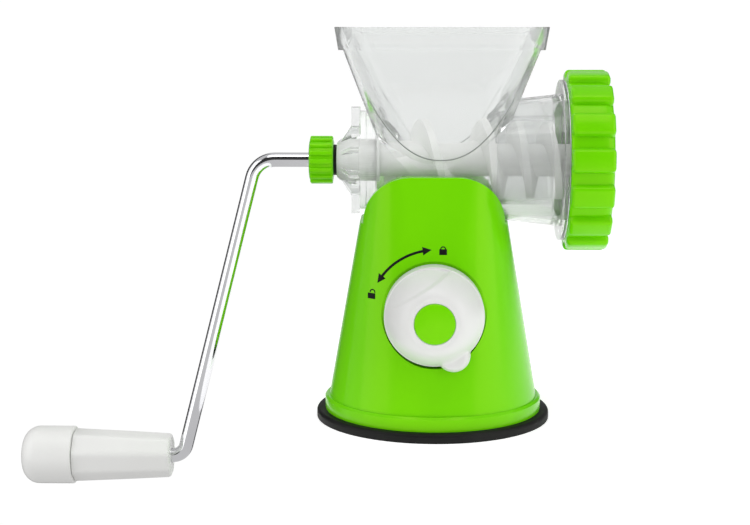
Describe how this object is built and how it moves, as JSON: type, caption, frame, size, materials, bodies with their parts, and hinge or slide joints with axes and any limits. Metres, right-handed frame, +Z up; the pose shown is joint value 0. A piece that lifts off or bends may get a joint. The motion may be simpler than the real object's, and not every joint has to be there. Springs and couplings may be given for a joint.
{
  "type": "hand crank meat grinder",
  "caption": "Hand meat grinder: clear hopper and barrel with a feed screw, lobed ring nut and perforated plate, bent crank with a spinning grip, and a conical suction base with a turn knob.",
  "frame": {"origin": "centre of the suction pad's underside", "axes": "+Z up, +X along the barrel towards the outlet, the suction knob faces -Y"},
  "size_m": [0.3272, 0.1406, 0.2576],
  "materials": {
    "green_plastic": "glossy moulded",
    "clear_plastic": "clear moulded",
    "black_rubber": "satin",
    "white_plastic": "satin moulded",
    "grey_plastic": "matt moulded",
    "chrome_steel": "polished",
    "stainless_steel": "ground",
    "zinc_steel": "plated"
  },
  "bodies": {
    "housing": {"base_shell": "green_plastic", "hopper_body": "clear_plastic", "suction_pad": "black_rubber", "mechanism_plate": "grey_plastic", "plate_screws": "zinc_steel", "barrel_screws": "zinc_steel", "bearing_bush": "white_plastic", "knob_bush": "white_plastic"},
    "crank": {"crank_arm": "chrome_steel", "drive_spindle": "stainless_steel", "auger": "white_plastic", "thrust_washer": "white_plastic", "knife_pin": "stainless_steel", "cross_knife": "stainless_steel", "seal_washer": "black_rubber", "grip_washer": "zinc_steel"},
    "crank_union": {"crank_nut": "green_plastic"},
    "grip": {"handle_sleeve": "white_plastic", "handle_cap": "white_plastic"},
    "knob": {"suction_knob": "white_plastic", "knob_cap": "green_plastic", "knob_screw": "zinc_steel", "cam_shaft": "zinc_steel", "cam": "white_plastic", "cam_pin": "zinc_steel", "shaft_clip": "zinc_steel"},
    "lifter": {"lift_yoke": "grey_plastic", "lift_stem": "zinc_steel", "stem_nuts": "zinc_steel", "return_spring": "zinc_steel"},
    "plate": {"cutting_plate": "stainless_steel"},
    "outlet_nut": {"ring_nut": "green_plastic"}
  },
  "joints": [
    {"name": "crank_turn", "type": "hinge", "parent": "housing", "child": "crank", "pos_m": [0, 0, 0.1435], "axis": [1, 0, 0], "continuous": true},
    {"name": "grip_spin", "type": "hinge", "parent": "crank", "child": "grip", "pos_m": [-0.17, 0, -0.0253], "axis": [1, 0, 0], "continuous": true},
    {"name": "union_turn", "type": "hinge", "parent": "crank", "child": "crank_union", "pos_m": [-0.062, 0, 0.1435], "axis": [1, 0, 0], "range_deg": [0, 720]},
    {"name": "knob_turn", "type": "hinge", "parent": "housing", "child": "knob", "pos_m": [0, -0.05, 0.0655], "axis": [0, 1, 0], "range_deg": [0, 90]},
    {"name": "stem_lift", "type": "slide", "parent": "housing", "child": "lifter", "axis": [0, 0, 1], "range_m": [0, 0.004], "deforming": ["return_spring"]},
    {"name": "outlet_nut_turn", "type": "hinge", "parent": "plate", "child": "outlet_nut", "pos_m": [0.08, 0, 0.1435], "axis": [1, 0, 0], "range_deg": [0, 1080]},
    {"name": "outlet_nut_advance", "type": "slide", "parent": "housing", "child": "plate", "axis": [1, 0, 0], "range_m": [0, 0.012]}
  ],
  "couplings": [
    {"joint": "stem_lift", "follows": "knob_turn", "m_per_rad": 0.0025465},
    {"joint": "outlet_nut_advance", "follows": "outlet_nut_turn", "m_per_rad": 0.00063662}
  ]
}
